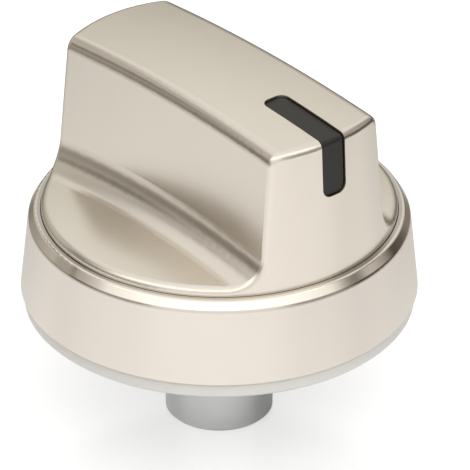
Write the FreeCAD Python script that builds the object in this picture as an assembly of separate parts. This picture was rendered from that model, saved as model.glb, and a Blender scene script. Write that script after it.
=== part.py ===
import FreeCAD, Part
import math
import os

V = FreeCAD.Vector

# Millimetres. The origin is the centre of the stem's end face.
# +Z runs up along the shaft axis, the pointer of the bar looks towards -Y.

# Skirt ring: tapered side, polished chamfer, narrow land round the cap
skirt_bottom_z = 18.45
skirt_bottom_r = 25.5
skirt_side_h = 10.15
skirt_side_run = 1.07
skirt_wall = 1.03
skirt_foot_break = 0.25
shoulder_round = 0.9
crest_round = 0.4
chamfer_w = 0.83
chamfer_h = 1.22
land_w = 0.74
ledge_w = 3.2
ledge_t = 1.5

# Grip cap: drum, scoops, finger bar
groove_gap = 0.08
groove_depth = 2.9
rim_h = 1.05
total_h = 49.93
drum_draft = 3.2
bar_half_top = 8.5
bar_lean = 5.0
crown_across_r = 90.0
crown_along_r = 230.0
floor_dome_r = 140.0
foot_round = 4.2
bar_edge_round = 1.95
rim_round = 1.0
cap_wall = 2.0
cap_top_t = 2.6
rib_t = 1.8
rib_clear = 0.8
gusset_t = 1.4
gusset_angles = (0.0, 180.0)
boss_r = 2.9
pilot_over = 1.5

# Indicator insert: one bent strip with two locating pegs
strip_w = 3.5
strip_t = 0.9
strip_recess = 0.35
strip_gap = 0.12
strip_top_len = 11.55
strip_front_h = 8.68
strip_corner_r = 1.1
peg_r = 0.75
peg_len = 0.8
peg_gap = 0.05
peg_hole_over = 0.3
peg_from_back = 2.3
peg_pitch = 5.8

# Stem hub: disc, ribs, drive key, stem
stem_r = 6.95
stem_end_break = 0.35
stem_root_flare = 1.2
disc_t = 2.5
clamp_w = 1.7
hub_rib_t = 1.6
hub_rib_root_h = 3.4
hub_rib_end_h = 0.8
hub_rib_margin = 1.9
hub_rib_angles = (0.0, 45.0, 135.0, 180.0, 225.0, 315.0)
key_half_x = 5.4
key_half_y = 5.1
key_h = 5.5
key_gap = 0.1
key_break = 0.8

# Bore for a 6 mm shaft with one flat
shaft_r = 3.0
shaft_flat_y = 1.6
bore_gap = 0.05
bore_depth = 24.0
lead_in_r = 3.25
lead_in_len = 9.0
mouth_chamfer = 0.6

# Leaf spring in its slot behind the flat of the bore
clip_t = 0.4
clip_w = 3.2
clip_len = 12.0
clip_foot = 2.0
clip_crest = 4.0
clip_preload = 0.15
clip_bend_round = 0.5
slot_gap = 0.1
slot_depth = 1.5
slot_from_lead_in = 1.5

# Base ring: pale foot of the skirt with a snap bead
base_h = 1.9
base_inset = 0.45
base_edge_break = 0.25
upstand_h = 4.0
upstand_t = 1.4
upstand_gap = 0.1
bead_up = 2.6
bead_half_h = 0.45
bead_out = 0.22

# Screws through the disc into the bosses of the cap
screw_inset = 5.3
screw_r = 1.3
screw_len = 10.0
screw_tip = 1.0
screw_gap = 0.04
screw_hole_r = 1.6
head_r = 2.6
head_h = 1.9
head_bevel = 0.6
recess_w = 0.7
recess_len = 2.8
recess_depth = 1.1

# Heights and radii that follow from the sizes above
skirt_top_z = skirt_bottom_z + skirt_side_h
skirt_top_r = skirt_bottom_r - skirt_side_run
skirt_inner_r = skirt_top_r - skirt_wall
land_z = skirt_top_z + chamfer_h
land_outer_r = skirt_top_r - chamfer_w
land_inner_r = land_outer_r - land_w
ledge_inner_r = land_inner_r - ledge_w
drum_r = land_inner_r - groove_gap
rim_z = land_z + rim_h
seat_z = land_z - groove_depth
dome_centre_z = rim_z - math.sqrt(floor_dome_r ** 2 - drum_r ** 2)
bar_end_r = drum_r - (total_h - land_z) * math.tan(math.radians(drum_draft))
strip_inset = strip_recess + strip_t
strip_back_y = strip_top_len - bar_end_r
strip_low_z = total_h - strip_front_h
peg_ys = (strip_back_y - peg_from_back, strip_back_y - peg_from_back - peg_pitch)
disc_r = ledge_inner_r + clamp_w
disc_top_z = seat_z - ledge_t
disc_low_z = disc_top_z - disc_t
bore_r = shaft_r + bore_gap
flat_y = shaft_flat_y + bore_gap
slot_wall_y = flat_y + slot_depth
slot_z = lead_in_len + slot_from_lead_in
base_low_z = skirt_bottom_z - base_h
base_outer_r = skirt_bottom_r - base_inset
upstand_r = skirt_inner_r - upstand_gap
base_inner_r = upstand_r - upstand_t
bead_z = skirt_bottom_z + bead_up
screw_ys = (screw_inset - ledge_inner_r, ledge_inner_r - screw_inset)
screw_tip_z = disc_low_z + screw_len
margin = 2.0


def revolved(points):
    """Full turn round Z of a closed (radius, height) outline, seam on +Y."""
    ring = [V(0, r, z) for r, z in points]
    face = Part.Face(Part.makePolygon(ring + ring[:1]))
    return face.revolve(V(0, 0, 0), V(0, 0, 1), 360)


def prism(points, direction):
    """Closed outline of points pushed along a direction."""
    return Part.Face(Part.makePolygon(points + points[:1])).extrude(direction)


def block(x0, x1, y0, y1, z0, z1):
    return Part.makeBox(x1 - x0, y1 - y0, z1 - z0, V(x0, y0, z0))


def rod(r, x, y, z0, z1):
    return Part.makeCylinder(r, z1 - z0, V(x, y, z0))


def turned(shape, degrees):
    copy = shape.copy()
    copy.rotate(V(0, 0, 0), V(0, 0, 1), degrees)
    return copy


def fused(shapes):
    return shapes[0].multiFuse(shapes[1:]).removeSplitter()


def kinds_at(shape, edge):
    """Kinds of the surfaces that meet at an edge."""
    return {type(face.Surface).__name__ for face in shape.ancestorsOfType(edge, Part.Face)}


def straight_edges(shape, along, across, value):
    """Straight edges along one axis whose middle has the given coordinate on another axis."""
    found = []
    for edge in shape.Edges:
        if isinstance(edge.Curve, Part.Line) and abs(edge.tangentAt(edge.FirstParameter)[along]) > 0.999:
            if abs(edge.CenterOfMass[across] - value) < 1e-4:
                found.append(edge)
    return found


def circles(shape, r, z):
    """Round edges about the axis with the given radius and height."""
    found = []
    for edge in shape.Edges:
        if isinstance(edge.Curve, Part.Circle) and abs(edge.Curve.Center.z - z) < 1e-4:
            if abs(edge.Curve.Radius - r) < 1e-4:
                found.append(edge)
    return found


def drum(inset, low):
    """Tapered drum over a straight spigot."""
    top = total_h + margin
    wide = drum_r - inset
    narrow = wide - (top - land_z) * math.tan(math.radians(drum_draft))
    return revolved([(0, low), (wide, low), (wide, land_z), (narrow, top), (0, top)])


def crowned(inset):
    """Everything under the crown of the bar: arched across X and, more gently, along Y."""
    half = drum_r + margin
    top = total_h - inset
    shoulder = top - crown_across_r + math.sqrt(crown_across_r ** 2 - half ** 2)
    low = disc_top_z - margin
    arch = Part.Arc(V(-half, 0, shoulder), V(0, 0, top), V(half, 0, shoulder)).toShape()
    sides = Part.makePolygon([V(half, 0, shoulder), V(half, 0, low), V(-half, 0, low), V(-half, 0, shoulder)])
    face = Part.Face(Part.Wire([arch] + sides.Edges))
    axis = V(0, 0, top - crown_along_r)
    swing = math.degrees(math.asin((half + margin) / (low - axis.z)))
    face.rotate(axis, V(1, 0, 0), -swing)
    return face.revolve(axis, V(1, 0, 0), 2 * swing)


def crown_z(y, inset):
    """Height of the crown on the middle line of the bar."""
    return total_h - inset - crown_along_r + math.sqrt(crown_along_r ** 2 - y ** 2)


def bar_slab(inset):
    """Room between the leaning side walls of the bar."""
    low = disc_top_z - margin
    top = total_h + margin
    reach = drum_r + margin
    lean = math.tan(math.radians(bar_lean))
    wide = bar_half_top + (total_h - low) * lean - inset
    narrow = bar_half_top + (total_h - top) * lean - inset
    outline = [(-wide, low), (wide, low), (narrow, top), (-narrow, top)]
    return prism([V(x, -reach, z) for x, z in outline], V(0, 2 * reach, 0))


def floor_dome(inset):
    """Ball whose crown is the floor of both scoops, seam inside the bar."""
    return turned(Part.makeSphere(floor_dome_r - inset, V(0, 0, dome_centre_z)), 90)


def grip_form(wall, top, low):
    """Drum under the crown, cut back to the bar above the domed floors."""
    under = drum(wall, low).common(crowned(top))
    return under.common(bar_slab(wall).fuse(floor_dome(wall))).removeSplitter().Solids[0]


def rounded_grip():
    """Outer form with swept feet, softened long edges and one round edge along ends and rims."""
    body = grip_form(0, 0, seat_z)
    feet = [e for e in body.Edges if kinds_at(body, e) == {"Plane", "Sphere"}]
    body = body.makeFillet(foot_round, feet)
    longs = [e for e in body.Edges if kinds_at(body, e) == {"Plane", "Toroid"}]
    body = body.makeFillet(bar_edge_round, longs)
    loop = []
    for edge in body.Edges:
        kinds = kinds_at(body, edge)
        if "Cone" in kinds and len(kinds) > 1 and "Cylinder" not in kinds:
            loop.append(edge)
        elif kinds == {"Cone", "Cylinder"} and edge.BoundBox.ZMin > land_z + rim_h / 2:
            loop.append(edge)
    return body.makeFillet(rim_round, loop)


def strip_region(grow):
    """Reach of the indicator strip: round corners at its back end and at its lower end."""
    half = strip_w / 2 + grow
    back = strip_back_y + grow
    low = strip_low_z - grow
    far = -drum_r - margin
    high = total_h + margin
    plan = block(-half, half, far, back, seat_z, high)
    plan = plan.makeFillet(strip_corner_r + grow, straight_edges(plan, 2, 1, back))
    front = block(-half, half, far, 0, low, high)
    front = front.makeFillet(strip_corner_r + grow, straight_edges(front, 1, 2, low))
    return plan.common(front)


def strip_bed():
    """Form that carries the underside of the indicator strip."""
    return drum(strip_inset, seat_z).common(crowned(strip_inset))


def make_grip_cap():
    shell = rounded_grip()
    room = rod(drum_r - cap_wall, 0, 0, seat_z - margin, rim_z + margin).common(floor_dome(cap_wall))
    hollow = drum(cap_wall, seat_z - margin).common(crowned(cap_top_t)).common(bar_slab(cap_wall))
    shell = shell.cut(room.fuse(hollow))
    reach = drum_r + margin
    rib_y = key_half_y + key_gap
    inner = [
        block(-reach, reach, rib_y, rib_y + rib_t, seat_z + rib_clear, total_h),
        block(-reach, reach, -rib_y - rib_t, -rib_y, seat_z + rib_clear, total_h),
    ]
    for angle in gusset_angles:
        web = block(bar_half_top, reach, -gusset_t / 2, gusset_t / 2, seat_z + rib_clear, total_h)
        inner.append(turned(web, angle))
    for y in screw_ys:
        inner.append(rod(boss_r, 0, y, disc_top_z, total_h))
    core = grip_form(cap_wall / 2, cap_top_t / 2, disc_top_z)
    shell = fused([shell] + [piece.common(core) for piece in inner])
    cuts = [strip_region(strip_gap).cut(strip_bed())]
    for y in screw_ys:
        cuts.append(rod(screw_r + screw_gap, 0, y, disc_top_z - margin, screw_tip_z + pilot_over))
    for y in peg_ys:
        bed = crown_z(y, strip_inset)
        cuts.append(rod(peg_r + peg_gap, 0, y, bed - peg_len - peg_hole_over, total_h))
    for piece in cuts:
        shell = shell.cut(piece)
    return shell


def make_indicator_insert():
    skin = drum(strip_recess, seat_z).common(crowned(strip_recess))
    strip = strip_region(0).common(skin).cut(strip_bed())
    fold = [e for e in strip.Edges if kinds_at(strip, e) == {"Cone", "Toroid"}]
    fold = [max(fold, key=lambda e: e.CenterOfMass.z - e.CenterOfMass.y)]
    strip = strip.makeFillet(rim_round - strip_recess, fold)
    pegs = []
    for y in peg_ys:
        bed = crown_z(y, strip_inset)
        pegs.append(rod(peg_r, 0, y, bed - peg_len, bed + strip_t / 2))
    return fused([strip] + pegs)


def between(start, end, distance):
    """Point at a distance from the start of the line to the end."""
    share = distance / math.dist(start, end)
    return tuple(a + (b - a) * share for a, b in zip(start, end))


def make_skirt_ring():
    foot = (skirt_bottom_r, skirt_bottom_z)
    shoulder = (skirt_top_r, skirt_top_z)
    ring = revolved([
        (skirt_inner_r, skirt_bottom_z),
        (skirt_bottom_r - skirt_foot_break, skirt_bottom_z),
        between(foot, shoulder, skirt_foot_break),
        shoulder,
        (land_outer_r, land_z),
        (land_inner_r, land_z),
        (land_inner_r, seat_z),
        (ledge_inner_r, seat_z),
        (ledge_inner_r, disc_top_z),
        (skirt_inner_r, disc_top_z),
        (skirt_inner_r, bead_z + bead_half_h),
        (skirt_inner_r + bead_out, bead_z),
        (skirt_inner_r, bead_z - bead_half_h),
    ])
    ring = ring.makeFillet(shoulder_round, circles(ring, skirt_top_r, skirt_top_z))
    return ring.makeFillet(crest_round, circles(ring, land_outer_r, land_z))


def make_base_ring():
    return revolved([
        (base_inner_r, base_low_z),
        (base_outer_r - base_edge_break, base_low_z),
        (base_outer_r, base_low_z + base_edge_break),
        (base_outer_r, skirt_bottom_z),
        (upstand_r, skirt_bottom_z),
        (upstand_r, bead_z - bead_half_h),
        (upstand_r + bead_out, bead_z),
        (upstand_r, bead_z + bead_half_h),
        (upstand_r, skirt_bottom_z + upstand_h),
        (base_inner_r, skirt_bottom_z + upstand_h),
    ])


def shaft_bore():
    """Round lead-in with a chamfered mouth, then the bore with one flat and the slot behind it."""
    low = -margin
    bore = rod(bore_r, 0, 0, lead_in_len - bore_gap, bore_depth)
    bore = bore.cut(block(-bore_r, bore_r, flat_y, bore_r, low, bore_depth + margin))
    slot_half = clip_w / 2 + slot_gap
    slot = block(-slot_half, slot_half, 0, slot_wall_y, slot_z - slot_gap, slot_z + clip_len + slot_gap)
    step = lead_in_r - bore_r
    return fused([
        rod(lead_in_r, 0, 0, low, lead_in_len),
        Part.makeCone(lead_in_r + mouth_chamfer, lead_in_r, mouth_chamfer),
        Part.makeCone(lead_in_r, bore_r, step, V(0, 0, lead_in_len)),
        bore,
        slot,
    ])


def make_stem_hub():
    hub = revolved([
        (0, 0),
        (stem_r - stem_end_break, 0),
        (stem_r, stem_end_break),
        (stem_r, disc_low_z - stem_root_flare),
        (stem_r + stem_root_flare, disc_low_z),
        (disc_r, disc_low_z),
        (disc_r, disc_top_z),
        (0, disc_top_z),
    ])
    sunk = disc_t / 2
    rib_end_r = disc_r - hub_rib_margin
    web = [
        (stem_r - sunk, disc_low_z + sunk),
        (stem_r - sunk, disc_low_z - hub_rib_root_h),
        (stem_r, disc_low_z - hub_rib_root_h),
        (rib_end_r, disc_low_z - hub_rib_end_h),
        (rib_end_r, disc_low_z + sunk),
    ]
    rib = prism([V(x, -hub_rib_t / 2, z) for x, z in web], V(0, hub_rib_t, 0))
    key = block(-key_half_x, key_half_x, -key_half_y, key_half_y, disc_top_z - sunk, disc_top_z + key_h)
    corners = straight_edges(key, 2, 0, key_half_x) + straight_edges(key, 2, 0, -key_half_x)
    key = key.makeChamfer(key_break, corners)
    hub = fused([hub, key] + [turned(rib, angle) for angle in hub_rib_angles])
    for y in screw_ys:
        hub = hub.cut(rod(screw_hole_r, 0, y, disc_low_z - margin, disc_top_z + margin))
    return hub.cut(shaft_bore())


def make_shaft_clip():
    """Leaf with two feet on the slot wall and a raised crest that presses on the shaft's flat."""
    crest_y = shaft_flat_y - clip_preload + clip_t
    mid = slot_z + clip_len / 2
    top = slot_z + clip_len
    back = [
        (slot_wall_y, slot_z),
        (slot_wall_y, slot_z + clip_foot),
        (crest_y, mid - clip_crest / 2),
        (crest_y, mid + clip_crest / 2),
        (slot_wall_y, top - clip_foot),
        (slot_wall_y, top),
    ]
    front = [(y - clip_t, z) for y, z in reversed(back)]
    leaf = prism([V(-clip_w / 2, y, z) for y, z in back + front], V(clip_w, 0, 0))
    bends = []
    for height in {z for y, z in back[1:-1]}:
        bends += straight_edges(leaf, 0, 2, height)
    return leaf.makeFillet(clip_bend_round, bends)


def make_hub_screws():
    outline = [
        (0, disc_low_z - head_h),
        (head_r - head_bevel, disc_low_z - head_h),
        (head_r, disc_low_z - head_h + head_bevel),
        (head_r, disc_low_z),
        (screw_r, disc_low_z),
        (screw_r, screw_tip_z - screw_tip),
        (screw_r / 2, screw_tip_z),
        (0, screw_tip_z),
    ]
    screw = revolved(outline)
    low = disc_low_z - head_h - margin
    floor = disc_low_z - head_h + recess_depth
    slot = block(-recess_len / 2, recess_len / 2, -recess_w / 2, recess_w / 2, low, floor)
    screw = screw.cut(slot.fuse(turned(slot, 90)))
    placed = []
    for y in screw_ys:
        copy = screw.copy()
        copy.translate(V(0, y, 0))
        placed.append(copy)
    return Part.makeCompound(placed)


makers = {
    "grip_cap": make_grip_cap,
    "skirt_ring": make_skirt_ring,
    "indicator_insert": make_indicator_insert,
    "stem_hub": make_stem_hub,
    "base_ring": make_base_ring,
    "shaft_clip": make_shaft_clip,
    "hub_screws": make_hub_screws,
}
os.makedirs("parts", exist_ok=True)
for node, maker in makers.items():
    shape = maker()
    shape.exportStep("parts/" + node + ".step")
    print(node, shape.isValid(), len(shape.Solids), round(shape.Volume, 2))
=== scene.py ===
import math

import bpy
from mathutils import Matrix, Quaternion, Vector

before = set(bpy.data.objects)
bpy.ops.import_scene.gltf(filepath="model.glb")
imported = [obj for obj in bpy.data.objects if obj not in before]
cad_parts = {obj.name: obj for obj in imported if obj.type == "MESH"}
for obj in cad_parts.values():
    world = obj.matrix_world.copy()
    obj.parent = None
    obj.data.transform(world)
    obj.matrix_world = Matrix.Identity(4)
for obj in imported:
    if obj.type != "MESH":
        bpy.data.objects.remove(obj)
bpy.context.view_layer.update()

# Metres and degrees. +Z is the shaft axis, the pointer of the bar looks towards -Y.
MM = 0.001

# Camera: where it looks, how far off it stands and how much it sees, with lens and sensor in millimetres
look_at = Vector((0.0, 0.0, 25.45 * MM))
camera_azimuth = -40.45
camera_elevation = 30.43
camera_distance = 700 * MM
camera_roll = 0.2
slide_right = 1.99 * MM
slide_up = -0.02 * MM
focal_length = 419.6
sensor_width = 36.0

# Skirt: height where the chamfer begins, radius where the land ends, and softness of both edges of finish
chamfer_low = 28.6 * MM
land_edge_r = 23.3 * MM
finish_blend = 0.04 * MM

# Grip and skirt plating: ends of tint and roughness, lines to the metre along and across, wear and depth
grip_tints = ((0.765, 0.706, 0.624, 1.0), (0.805, 0.744, 0.658, 1.0))
grip_roughness = (0.22, 0.26)
grip_lines = (260.0, 7000.0)
skirt_tints = ((0.780, 0.723, 0.657, 1.0), (0.820, 0.760, 0.691, 1.0))
skirt_roughness = (0.29, 0.33)
skirt_lines = (120.0, 6000.0)
skirt_mean_r = 24 * MM
chamfer_tint = (0.830, 0.765, 0.685, 1.0)
chamfer_roughness = (0.06, 0.10)
# Land tint darkened with painted shade, where the land meets the foot of the cap
land_painted_shade_tint = (0.560, 0.532, 0.488, 1.0)
line_wear = (-0.03, 0.03)
line_depth = 0.0002 * MM

# Pointer strip, hub, base ring, clip and screws: the same, with pits to the metre on moulded and cast skins
pointer_tints = ((0.008, 0.0062, 0.0047, 1.0), (0.013, 0.0106, 0.0084, 1.0))
pointer_roughness = (0.34, 0.50)
pointer_pits = 5200.0
pointer_depth = 0.006 * MM
hub_tints = ((0.59, 0.60, 0.60, 1.0), (0.69, 0.695, 0.69, 1.0))
hub_roughness = (0.30, 0.42)
hub_lines = (200.0, 5000.0)
hub_line_share = 0.5
hub_mean_r = 7 * MM
hub_pits = 3600.0
hub_depth = 0.004 * MM
ring_tints = ((0.71, 0.69, 0.665, 1.0), (0.76, 0.74, 0.715, 1.0))
ring_roughness = (0.28, 0.40)
ring_pits = 2600.0
ring_depth = 0.003 * MM
ring_milk = 0.5
ring_milk_tint = (1.0, 1.0, 0.95)
ring_milk_reach = 1.2 * MM
clip_tints = ((0.44, 0.44, 0.46, 1.0), (0.53, 0.53, 0.54, 1.0))
clip_roughness = (0.20, 0.40)
clip_lines = (400.0, 8000.0)
screw_tints = ((0.58, 0.59, 0.61, 1.0), (0.70, 0.70, 0.69, 1.0))
screw_roughness = (0.18, 0.38)
screw_pits = 3000.0
screw_depth = 0.003 * MM

# Studio room: tone of each wall by elevation, from straight down at -90 to straight up at 90
overhead = (90, (1.06, 1.06, 1.05))
side_tones = (
    (-90, (0.06, 0.05, 0.04)),
    (6, (0.07, 0.06, 0.05)),
    (20, (0.25, 0.235, 0.215)),
    (32, (0.30, 0.285, 0.265)),
    (42, (0.44, 0.425, 0.40)),
    (51, (0.90, 0.89, 0.87)),
    overhead,
)
back_tones = (
    (-90, (0.28, 0.255, 0.225)),
    (-4, (0.24, 0.215, 0.19)),
    (2, (0.18, 0.16, 0.14)),
    (12, (0.52, 0.50, 0.46)),
    (22, (0.69, 0.67, 0.62)),
    (30, (0.80, 0.79, 0.74)),
    (39, (0.92, 0.91, 0.87)),
    overhead,
)
left_tones = (
    (-90, (0.34, 0.31, 0.27)),
    (-3, (0.30, 0.27, 0.23)),
    (4, (0.18, 0.15, 0.125)),
    (15, (0.17, 0.14, 0.115)),
    (20, (0.50, 0.48, 0.44)),
    (26, (0.64, 0.62, 0.58)),
    (34, (0.68, 0.66, 0.62)),
    (40, (0.60, 0.58, 0.55)),
    (46, (0.74, 0.72, 0.69)),
    (52, (0.93, 0.92, 0.90)),
    overhead,
)
corner_top_tones = (
    (38, (0.40, 0.38, 0.35)),
    (42, (0.40, 0.38, 0.35)),
    (45, (0.74, 0.72, 0.69)),
    (49, (0.92, 0.91, 0.89)),
    overhead,
)
corner_tones = (
    (-90, (0.10, 0.085, 0.07)),
    (-12, (0.30, 0.28, 0.25)),
    (0, (0.40, 0.38, 0.34)),
    (11, (0.53, 0.51, 0.46)),
    (24, (0.60, 0.58, 0.53)),
    (33, (0.64, 0.62, 0.58)),
    *corner_top_tones,
)
# Dark panel that the foot of the near scoop mirrors
panel_tones = (
    (-90, (0.10, 0.085, 0.07)),
    (-12, (0.30, 0.28, 0.25)),
    (4, (0.36, 0.34, 0.30)),
    (17, (0.44, 0.42, 0.38)),
    (20, (0.06, 0.05, 0.04)),
    (28, (0.06, 0.05, 0.04)),
    (33, (0.58, 0.56, 0.52)),
    *corner_top_tones,
)
right_tones = (
    (-90, (0.06, 0.05, 0.04)),
    (7, (0.12, 0.10, 0.085)),
    (12, (0.40, 0.38, 0.35)),
    (16, (0.58, 0.56, 0.52)),
    (20, (0.50, 0.48, 0.45)),
    (32, (0.32, 0.305, 0.285)),
    (51, (0.90, 0.89, 0.87)),
    overhead,
)
front_top_tones = (
    (26, (1.00, 0.99, 0.96)),
    (31, (1.22, 1.21, 1.19)),
    (37, (1.55, 1.55, 1.53)),
    (46, (1.55, 1.55, 1.53)),
    (60, (1.10, 1.10, 1.09)),
    overhead,
)
front_tones = (
    (-90, (0.34, 0.32, 0.29)),
    (10, (0.36, 0.34, 0.31)),
    (18, (0.56, 0.54, 0.51)),
    *front_top_tones,
)
camera_tones = (
    (-90, (0.90, 0.89, 0.87)),
    (18, (0.90, 0.89, 0.87)),
    *front_top_tones,
)

# Walls laid over the sides in this order: tones, azimuth, half width, softness of the left and right edge.
# Azimuth 0 is behind the camera, 90 to its right, -90 to its left, 180 behind the knob.
room_walls = (
    (back_tones, 180, 38, 26, 26),
    (left_tones, -96, 14, 12, 12),
    (corner_tones, -119, 19, 20, 6),
    (panel_tones, -101, 5, 5, 5),
    (right_tones, 104, 8, 9, 9),
    (front_tones, 0, 69, 18, 18),
    (camera_tones, 0, 32, 14, 14),
)
room_level = 1.0
background_level = 1.0
white = (1.0, 1.0, 1.0, 1.0)

# Lamp: azimuth from the camera, elevation, distance, size and power in watts
softbox_azimuth = 16.0
softbox_elevation = 46.0
softbox_distance = 1.0
softbox_wide = 1.05
softbox_tall = 0.5
softbox_power = 3.2

# Floor: pale glossy sheet, and the light added to it where the camera sees it
floor_size = 4.0
floor_tone = (0.62, 0.62, 0.62, 1.0)
floor_roughness = 0.12
floor_ior = 1.9
floor_white = 0.50

# Sheet as the metal mirrors it: where it ends, its painted pool of light near the camera, the painted shadow
# of the knob behind it and the painted shade at the stem, each with its level of light
sheet_back = 0.075
sheet_left = 0.42
sheet_right = 0.17
sheet_soft = 0.035
# Painted pool of light on the sheet near the camera
spot_near = 0.09
spot_left = 0.03
spot_inner = 0.03
spot_outer = 0.18
spot_high = 0.36
spot_low = 0.24
# Painted shadow of the knob on the sheet, from where it is full to where it ends
knob_shadow_full = -0.045
knob_shadow_end = -0.005
knob_shadow_level = 0.36
shade_rear = 0.006
shade_right = 0.014
shade_inner = 0.009
shade_outer = 0.026
shade_level = 0.1

# Sockets of the Mix node that hold colours
COLOUR_A = 6
COLOUR_B = 7
COLOUR_RESULT = 2


class Nodes:
    """Short-hand for building one node tree."""

    def __init__(self, tree):
        self.tree = tree

    def add(self, kind, inputs=None, **settings):
        node = self.tree.nodes.new(kind)
        for name, value in settings.items():
            setattr(node, name, value)
        for name, value in (inputs or {}).items():
            self.feed(node.inputs[name], value)
        return node

    def feed(self, socket, value):
        """Links a node's output to the socket, or sets a plain value on it."""
        if isinstance(value, bpy.types.NodeSocket):
            self.tree.links.new(value, socket)
        else:
            socket.default_value = value

    def math(self, operation, a, b=0.0):
        return self.add("ShaderNodeMath", {0: a, 1: b}, operation=operation).outputs[0]

    def smooth(self, value, low, high, start=0.0):
        """Smooth step from start to 1 of a value between two limits."""
        limits = {"Value": value, "From Min": low, "From Max": high, "To Min": start}
        return self.add("ShaderNodeMapRange", limits, interpolation_type="SMOOTHSTEP").outputs["Result"]

    def share(self, value, low, high):
        """Even share of 0 to 1 of a value between two limits."""
        limits = {"Value": value, "From Min": low, "From Max": high}
        return self.add("ShaderNodeMapRange", limits).outputs["Result"]

    def spread(self, value, start, end):
        """A value of 0 to 1 spread evenly from start to end."""
        limits = {"Value": value, "To Min": start, "To Max": end}
        return self.add("ShaderNodeMapRange", limits).outputs["Result"]

    def mix(self, share, a, b):
        """Plain value between a and b."""
        values = {"Factor": share, "A": a, "B": b}
        return self.add("ShaderNodeMix", values, data_type="FLOAT").outputs["Result"]

    def blend(self, share, a, b):
        """Colour between a and b."""
        node = self.add("ShaderNodeMix", data_type="RGBA")
        self.feed(node.inputs["Factor"], share)
        self.feed(node.inputs[COLOUR_A], a)
        self.feed(node.inputs[COLOUR_B], b)
        return node.outputs[COLOUR_RESULT]

    def distance(self, place, point):
        return self.add("ShaderNodeVectorMath", {0: place, 1: point}, operation="DISTANCE").outputs["Value"]

    def along(self, place, way):
        """How far a place lies along a unit vector."""
        return self.add("ShaderNodeVectorMath", {0: place, 1: way}, operation="DOT_PRODUCT").outputs["Value"]

    def noise(self, vector, scale, detail, roughness):
        values = {"Vector": vector, "Scale": scale, "Detail": detail, "Roughness": roughness}
        return self.add("ShaderNodeTexNoise", values).outputs["Fac"]

    def group(self, tree, inputs):
        return self.add("ShaderNodeGroup", inputs, node_tree=tree).outputs


def new_group(name, inputs, outputs):
    """Empty shader group with named sockets; gives its builder, its input node and its output node."""
    tree = bpy.data.node_groups.new(name, "ShaderNodeTree")
    for socket, (kind, value) in inputs.items():
        made = tree.interface.new_socket(socket, in_out="INPUT", socket_type=kind)
        if value is not None:
            made.default_value = value
    for socket, kind in outputs.items():
        tree.interface.new_socket(socket, in_out="OUTPUT", socket_type=kind)
    build = Nodes(tree)
    return build, build.add("NodeGroupInput"), build.add("NodeGroupOutput")


def make_brushed_grain():
    """Fine drawn lines along Y over a cloudy ground, for satin and drawn metal."""
    inputs = {
        "Vector": ("NodeSocketVector", None),
        "Along": ("NodeSocketFloat", 220.0),
        "Across": ("NodeSocketFloat", 9000.0),
    }
    outputs = {"Lines": "NodeSocketFloat", "Clouds": "NodeSocketFloat"}
    build, given, result = new_group("brushed_grain", inputs, outputs)
    place = given.outputs["Vector"]
    parts = build.add("ShaderNodeSeparateXYZ", {"Vector": place}).outputs
    stretched = build.add("ShaderNodeCombineXYZ", {
        "X": build.math("MULTIPLY", parts["X"], given.outputs["Across"]),
        "Y": build.math("MULTIPLY", parts["Y"], given.outputs["Along"]),
        "Z": build.math("MULTIPLY", parts["Z"], given.outputs["Across"]),
    }).outputs["Vector"]
    build.feed(result.inputs["Lines"], build.noise(stretched, scale=1.0, detail=3.0, roughness=0.6))
    build.feed(result.inputs["Clouds"], build.noise(place, scale=160.0, detail=3.0, roughness=0.55))
    return build.tree


def make_cast_grain():
    """Small pits and soft unevenness of a moulded or cast skin."""
    inputs = {"Vector": ("NodeSocketVector", None), "Grain": ("NodeSocketFloat", 4000.0)}
    outputs = {"Pits": "NodeSocketFloat", "Clouds": "NodeSocketFloat"}
    build, given, result = new_group("cast_grain", inputs, outputs)
    place = given.outputs["Vector"]
    pits = build.noise(place, scale=given.outputs["Grain"], detail=4.0, roughness=0.65)
    build.feed(result.inputs["Pits"], pits)
    build.feed(result.inputs["Clouds"], build.noise(place, scale=220.0, detail=2.0, roughness=0.5))
    return build.tree


def make_turned_place():
    """Place on a turned piece: way round it at its mean radius as Y, radius and height as X and Z."""
    inputs = {"Vector": ("NodeSocketVector", None), "Mean Radius": ("NodeSocketFloat", 0.02)}
    outputs = {"Vector": "NodeSocketVector", "Radius": "NodeSocketFloat", "Height": "NodeSocketFloat"}
    build, given, result = new_group("turned_place", inputs, outputs)
    parts = build.add("ShaderNodeSeparateXYZ", {"Vector": given.outputs["Vector"]}).outputs
    x_square = build.math("MULTIPLY", parts["X"], parts["X"])
    y_square = build.math("MULTIPLY", parts["Y"], parts["Y"])
    radius = build.math("SQRT", build.math("ADD", x_square, y_square))
    angle = build.math("ARCTAN2", parts["X"], parts["Y"])
    around = build.math("MULTIPLY", angle, given.outputs["Mean Radius"])
    place = build.add("ShaderNodeCombineXYZ", {"X": radius, "Y": around, "Z": parts["Z"]})
    build.feed(result.inputs["Vector"], place.outputs["Vector"])
    build.feed(result.inputs["Radius"], radius)
    build.feed(result.inputs["Height"], parts["Z"])
    return build.tree


brushed_grain = make_brushed_grain()
cast_grain = make_cast_grain()
turned_place = make_turned_place()


def new_material(name):
    """Material with an empty tree; gives it, its builder, its Principled shader and Object coordinates."""
    material = bpy.data.materials.new(name)
    material.use_nodes = True
    material.node_tree.nodes.clear()
    build = Nodes(material.node_tree)
    shader = build.add("ShaderNodeBsdfPrincipled")
    output = build.add("ShaderNodeOutputMaterial")
    build.surface = output.inputs["Surface"]
    build.feed(build.surface, shader.outputs["BSDF"])
    place = build.add("ShaderNodeTexCoord").outputs["Object"]
    return material, build, shader, place


def drawn_lines(build, place, lines):
    """Brushed grain with its lines to the metre along and across."""
    along, across = lines
    return build.group(brushed_grain, {"Vector": place, "Along": along, "Across": across})


def coat(build, shader, tint, roughness, metallic=1.0):
    """Tint and roughness of a metal, or of a plastic with metallic at 0."""
    build.feed(shader.inputs["Base Color"], tint)
    build.feed(shader.inputs["Roughness"], roughness)
    build.feed(shader.inputs["Metallic"], metallic)


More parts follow.
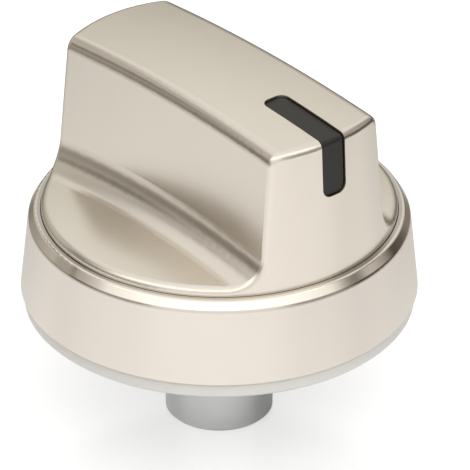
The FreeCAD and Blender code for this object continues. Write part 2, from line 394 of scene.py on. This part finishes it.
def bump(build, shader, height, depth):
    """Bump of a depth in metres from a height of 0 to 1."""
    node = build.add("ShaderNodeBump", {"Height": height, "Distance": depth, "Strength": 1.0})
    build.feed(shader.inputs["Normal"], node.outputs["Normal"])


def grip_plating():
    """Warm satin plating of the grip, drawn along the bar."""
    material, build, shader, place = new_material("satin_plating")
    grain = drawn_lines(build, place, grip_lines)
    worn = build.spread(grain["Lines"], *line_wear)
    roughness = build.math("ADD", worn, build.spread(grain["Clouds"], *grip_roughness))
    coat(build, shader, build.blend(grain["Clouds"], *grip_tints), roughness)
    bump(build, shader, grain["Lines"], line_depth)
    return material


def skirt_plating():
    """Satin turned side of the skirt under a polished chamfer, with painted shade darkening the land."""
    material, build, shader, place = new_material("turned_plating")
    turned = build.group(turned_place, {"Vector": place, "Mean Radius": skirt_mean_r})
    grain = drawn_lines(build, turned["Vector"], skirt_lines)
    above = build.smooth(turned["Height"], chamfer_low - finish_blend, chamfer_low + finish_blend)
    outside = build.smooth(turned["Radius"], land_edge_r - finish_blend, land_edge_r + finish_blend)
    polished = build.math("MULTIPLY", above, outside)
    land = build.math("SUBTRACT", above, polished)
    tint = build.blend(grain["Clouds"], *skirt_tints)
    tint = build.blend(polished, tint, chamfer_tint)
    # Painted shade: the land round the foot of the cap is darker
    tint = build.blend(land, tint, land_painted_shade_tint)
    worn = build.spread(grain["Lines"], *line_wear)
    satin = build.math("ADD", worn, build.spread(grain["Clouds"], *skirt_roughness))
    shine = build.spread(grain["Clouds"], *chamfer_roughness)
    coat(build, shader, tint, build.mix(polished, satin, shine))
    dull = build.math("SUBTRACT", 1.0, polished)
    bump(build, shader, build.math("MULTIPLY", grain["Lines"], dull), line_depth)
    return material


def pointer_plastic():
    """Fine matt black of the moulded pointer strip."""
    material, build, shader, place = new_material("pointer_plastic")
    skin = build.group(cast_grain, {"Vector": place, "Grain": pointer_pits})
    roughness = build.spread(skin["Pits"], *pointer_roughness)
    coat(build, shader, build.blend(skin["Clouds"], *pointer_tints), roughness, metallic=0.0)
    bump(build, shader, skin["Pits"], pointer_depth)
    return material


def hub_casting():
    """Grey satin stem and hub with faint turning lines."""
    material, build, shader, place = new_material("hub_casting")
    turned = build.group(turned_place, {"Vector": place, "Mean Radius": hub_mean_r})
    grain = drawn_lines(build, turned["Vector"], hub_lines)
    skin = build.group(cast_grain, {"Vector": place, "Grain": hub_pits})
    roughness = build.spread(skin["Pits"], *hub_roughness)
    coat(build, shader, build.blend(skin["Clouds"], *hub_tints), roughness)
    turning = build.math("MULTIPLY", grain["Lines"], hub_line_share)
    bump(build, shader, build.math("ADD", turning, skin["Pits"]), hub_depth)
    return material


def ring_plastic():
    """Milky plastic of the moulded base ring."""
    material, build, shader, place = new_material("milky_plastic")
    skin = build.group(cast_grain, {"Vector": place, "Grain": ring_pits})
    roughness = build.spread(skin["Pits"], *ring_roughness)
    coat(build, shader, build.blend(skin["Clouds"], *ring_tints), roughness, metallic=0.0)
    build.feed(shader.inputs["Subsurface Weight"], ring_milk)
    build.feed(shader.inputs["Subsurface Radius"], ring_milk_tint)
    build.feed(shader.inputs["Subsurface Scale"], ring_milk_reach)
    bump(build, shader, skin["Pits"], ring_depth)
    return material


def clip_strip():
    """Rolled spring steel, drawn along the leaf."""
    material, build, shader, place = new_material("rolled_strip")
    upright = (math.radians(90), 0.0, 0.0)
    turned = build.add("ShaderNodeMapping", {"Vector": place, "Rotation": upright}).outputs["Vector"]
    grain = drawn_lines(build, turned, clip_lines)
    roughness = build.spread(grain["Lines"], *clip_roughness)
    coat(build, shader, build.blend(grain["Clouds"], *clip_tints), roughness)
    bump(build, shader, grain["Lines"], line_depth)
    return material


def screw_plating():
    """Zinc plating of the screws with small spangles."""
    material, build, shader, place = new_material("zinc_plating")
    skin = build.group(cast_grain, {"Vector": place, "Grain": screw_pits})
    roughness = build.spread(skin["Pits"], *screw_roughness)
    coat(build, shader, build.blend(skin["Clouds"], *screw_tints), roughness)
    bump(build, shader, skin["Pits"], screw_depth)
    return material


def dress(node, material):
    """Gives a CAD node its finished material."""
    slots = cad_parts[node].data.materials
    slots.clear()
    slots.append(material)


dress("grip_cap", grip_plating())
dress("skirt_ring", skirt_plating())
dress("indicator_insert", pointer_plastic())
dress("stem_hub", hub_casting())
dress("base_ring", ring_plastic())
dress("shaft_clip", clip_strip())
dress("hub_screws", screw_plating())


def direction(azimuth, elevation):
    """Unit vector towards a place round the knob, azimuth counted from the world's -Y."""
    a = math.radians(azimuth)
    e = math.radians(elevation)
    return Vector((math.sin(a) * math.cos(e), -math.cos(a) * math.cos(e), math.sin(e)))


def make_wall_group():
    """Share of one soft-edged wall of the room by azimuth from the camera, in degrees."""
    inputs = {
        "Azimuth": ("NodeSocketFloat", 0.0),
        "At": ("NodeSocketFloat", 0.0),
        "Half Width": ("NodeSocketFloat", 10.0),
        "Left Softness": ("NodeSocketFloat", 10.0),
        "Right Softness": ("NodeSocketFloat", 10.0),
    }
    build, given, result = new_group("room_wall", inputs, {"Mask": "NodeSocketFloat"})
    away = build.math("SUBTRACT", given.outputs["Azimuth"], given.outputs["At"])
    away = build.add("ShaderNodeMath", {0: away, 1: -180.0, 2: 180.0}, operation="WRAP").outputs[0]
    half = given.outputs["Half Width"]
    right = build.smooth(away, build.math("ADD", half, given.outputs["Right Softness"]), half)
    away = build.math("MULTIPLY", away, -1.0)
    left = build.smooth(away, build.math("ADD", half, given.outputs["Left Softness"]), half)
    build.feed(result.inputs["Mask"], build.math("MULTIPLY", left, right))
    return build.tree


def wall_tone(build, height, stops):
    """Colour of a wall by its share of the height from -90 to 90 degrees."""
    ramp = build.add("ShaderNodeValToRGB", {"Fac": height})
    marks = ramp.color_ramp.elements
    while len(marks) < len(stops):
        marks.new(0.5)
    for mark, (elevation, colour) in zip(marks, stops):
        mark.position = (elevation + 90) / 180
        mark.color = (*colour, 1.0)
    return ramp.outputs["Color"]


def make_room():
    """Studio dim round the horizon and bright overhead; the camera sees it plain white."""
    world = bpy.data.worlds.new("studio_room")
    bpy.context.scene.world = world
    world.use_nodes = True
    world.node_tree.nodes.clear()
    build = Nodes(world.node_tree)
    ray = build.add("ShaderNodeTexCoord").outputs["Generated"]
    parts = build.add("ShaderNodeSeparateXYZ", {"Vector": ray}).outputs
    turned = build.math("ARCTAN2", parts["X"], build.math("MULTIPLY", parts["Y"], -1.0))
    azimuth = build.math("SUBTRACT", build.math("DEGREES", turned), camera_azimuth)
    height = build.share(build.math("DEGREES", build.math("ARCSINE", parts["Z"])), -90.0, 90.0)
    tone = wall_tone(build, height, side_tones)
    wall_group = make_wall_group()
    for stops, at, half, left_soft, right_soft in room_walls:
        wall = build.group(wall_group, {
            "Azimuth": azimuth,
            "At": at,
            "Half Width": half,
            "Left Softness": left_soft,
            "Right Softness": right_soft,
        })
        tone = build.blend(wall["Mask"], tone, wall_tone(build, height, stops))
    lit = build.add("ShaderNodeBackground", {"Color": tone, "Strength": room_level}).outputs[0]
    plain = build.add("ShaderNodeBackground", {"Color": white, "Strength": background_level}).outputs[0]
    paths = build.add("ShaderNodeLightPath").outputs
    seen = build.math("MAXIMUM", paths["Is Camera Ray"], paths["Is Transmission Ray"])
    mixed = build.add("ShaderNodeMixShader", {0: seen, 1: lit, 2: plain}).outputs[0]
    output = build.add("ShaderNodeOutputWorld")
    build.feed(output.inputs["Surface"], mixed)


def sheet_painted_light(build, place, near, left):
    """Painted light of the sheet in the metal: a pool near the camera, painted shadow behind the knob and at
    the stem.
    """
    from_spot = build.distance(place, near * spot_near + left * spot_left)
    glow = build.spread(build.share(from_spot, spot_inner, spot_outer), spot_high, spot_low)
    rear = build.smooth(build.along(place, near), knob_shadow_full, knob_shadow_end, knob_shadow_level)
    glow = build.math("MULTIPLY", glow, rear)
    from_shade = build.distance(place, near * -shade_rear + left * -shade_right)
    shade = build.smooth(from_shade, shade_inner, shade_outer, shade_level)
    return build.math("MULTIPLY", glow, shade)


def past_sheet(build, place, near, left):
    """Share of 0 on the sheet to 1 past its far, left and right edges."""
    beyond = 0.0
    for way, reach in ((-near, sheet_back), (left, sheet_left), (-left, sheet_right)):
        past = build.smooth(build.along(place, way), reach - sheet_soft, reach + sheet_soft)
        beyond = build.math("MAXIMUM", past, beyond)
    return beyond


def floor_sheet():
    """Pale glossy sheet that keeps the knob's shadow; clear from below, and past its edges in the metal."""
    material, build, shader, place = new_material("floor_sheet")
    near = direction(camera_azimuth, 0)
    left = direction(camera_azimuth - 90, 0)
    coat(build, shader, floor_tone, floor_roughness, metallic=0.0)
    build.feed(shader.inputs["IOR"], floor_ior)
    paths = build.add("ShaderNodeLightPath").outputs
    seen = build.math("MAXIMUM", paths["Is Camera Ray"], paths["Is Transmission Ray"])
    seen = build.math("MULTIPLY", seen, floor_white)
    # Glossy rays see painted light on the sheet: a pool near the camera, painted shadow behind the knob and
    # painted shade at the stem
    mirrored = build.math("MULTIPLY", paths["Is Glossy Ray"], sheet_painted_light(build, place, near, left))
    build.feed(shader.inputs["Emission Color"], white)
    build.feed(shader.inputs["Emission Strength"], build.math("ADD", seen, mirrored))
    ended = build.math("MULTIPLY", past_sheet(build, place, near, left), paths["Is Glossy Ray"])
    under = build.add("ShaderNodeNewGeometry").outputs["Backfacing"]
    share = build.math("MAXIMUM", under, ended)
    clear = build.add("ShaderNodeBsdfTransparent").outputs[0]
    mixed = build.add("ShaderNodeMixShader", {0: share, 1: shader.outputs["BSDF"], 2: clear}).outputs[0]
    build.feed(build.surface, mixed)
    return material


def make_floor():
    """Square floor at the height of the stem's end."""
    half = floor_size / 2
    mesh = bpy.data.meshes.new("floor")
    corners = [(-half, -half, 0), (half, -half, 0), (half, half, 0), (-half, half, 0)]
    mesh.from_pydata(corners, [], [(0, 1, 2, 3)])
    mesh.materials.append(floor_sheet())
    floor = bpy.data.objects.new("floor", mesh)
    bpy.context.scene.collection.objects.link(floor)


def make_softbox():
    """Wide lamp above the camera."""
    lamp = bpy.data.lights.new("softbox", "AREA")
    lamp.shape = "RECTANGLE"
    lamp.size = softbox_wide
    lamp.size_y = softbox_tall
    lamp.energy = softbox_power
    holder = bpy.data.objects.new("softbox", lamp)
    holder.visible_glossy = False
    bpy.context.scene.collection.objects.link(holder)
    towards = direction(camera_azimuth + softbox_azimuth, softbox_elevation)
    holder.location = look_at + towards * softbox_distance
    holder.rotation_mode = "QUATERNION"
    holder.rotation_quaternion = towards.to_track_quat("Z", "Y")


def make_camera():
    """Camera at the photograph's angle."""
    back = direction(camera_azimuth, camera_elevation)
    turn = (-back).to_track_quat("-Z", "Y")
    data = bpy.data.cameras.new("camera")
    data.lens = focal_length
    data.sensor_width = sensor_width
    camera = bpy.data.objects.new("camera", data)
    bpy.context.scene.collection.objects.link(camera)
    right = turn @ Vector((1, 0, 0))
    up = turn @ Vector((0, 1, 0))
    camera.location = look_at + back * camera_distance + right * slide_right + up * slide_up
    camera.rotation_mode = "QUATERNION"
    camera.rotation_quaternion = turn @ Quaternion((0, 0, 1), math.radians(camera_roll))
    bpy.context.scene.camera = camera


make_room()
make_floor()
make_softbox()
make_camera()
bpy.context.scene.view_settings.view_transform = "Standard"
